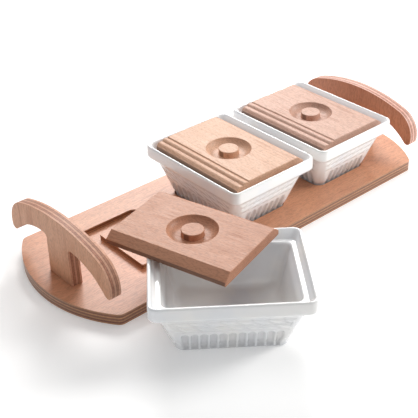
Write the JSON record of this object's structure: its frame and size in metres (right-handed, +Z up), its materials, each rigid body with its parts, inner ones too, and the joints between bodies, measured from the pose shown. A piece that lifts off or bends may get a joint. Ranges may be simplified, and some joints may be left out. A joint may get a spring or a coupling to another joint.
{
  "type": "chip and dip server",
  "caption": "Plywood carrying tray with arched end handles, seats for flared porcelain dishes, and flat wooden lids with a finger well",
  "frame": {"origin": "centre of the board's underside, on the surface that the server stands on", "axes": "+X runs along the board from the left handle to the right handle, +Y points to the far long side, away from the dish that stands in front, +Z is up"},
  "size_m": [0.478, 0.3169, 0.079],
  "materials": {
    "board_plywood": "thin satin lacquer over beech plywood",
    "handle_plywood": "thin satin lacquer over beech plywood, layers showing on the edges",
    "lid_beech": "satin lacquered solid beech",
    "porcelain": "clear gloss glaze on white porcelain",
    "screw_steel": "zinc plated"
  },
  "bodies": {
    "tray": {"tray_board": "board_plywood", "left_handle": "handle_plywood", "right_handle": "handle_plywood", "left_handle_screw_near": "screw_steel", "left_handle_screw_far": "screw_steel", "right_handle_screw_near": "screw_steel", "right_handle_screw_far": "screw_steel"},
    "front_dish": {"front_dish": "porcelain"},
    "middle_dish": {"middle_dish": "porcelain"},
    "right_dish": {"right_dish": "porcelain"},
    "front_lid": {"front_lid": "lid_beech"},
    "middle_lid": {"middle_lid": "lid_beech"},
    "right_lid": {"right_lid": "lid_beech"}
  },
  "joints": [
    {"name": "front_dish_lift", "type": "slide", "parent": "tray", "child": "front_dish", "axis": [0, 0, 1], "range_m": [0, 0.13]},
    {"name": "middle_dish_lift", "type": "slide", "parent": "tray", "child": "middle_dish", "axis": [0, 0, 1], "range_m": [0, 0.13]},
    {"name": "right_dish_lift", "type": "slide", "parent": "tray", "child": "right_dish", "axis": [0, 0, 1], "range_m": [0, 0.13]},
    {"name": "front_lid_lift", "type": "slide", "parent": "front_dish", "child": "front_lid", "axis": [0, 0, 1], "range_m": [0, 0.08]},
    {"name": "middle_lid_lift", "type": "slide", "parent": "middle_dish", "child": "middle_lid", "axis": [0, 0, 1], "range_m": [0, 0.08]},
    {"name": "right_lid_lift", "type": "slide", "parent": "right_dish", "child": "right_lid", "axis": [0, 0, 1], "range_m": [0, 0.08]}
  ]
}
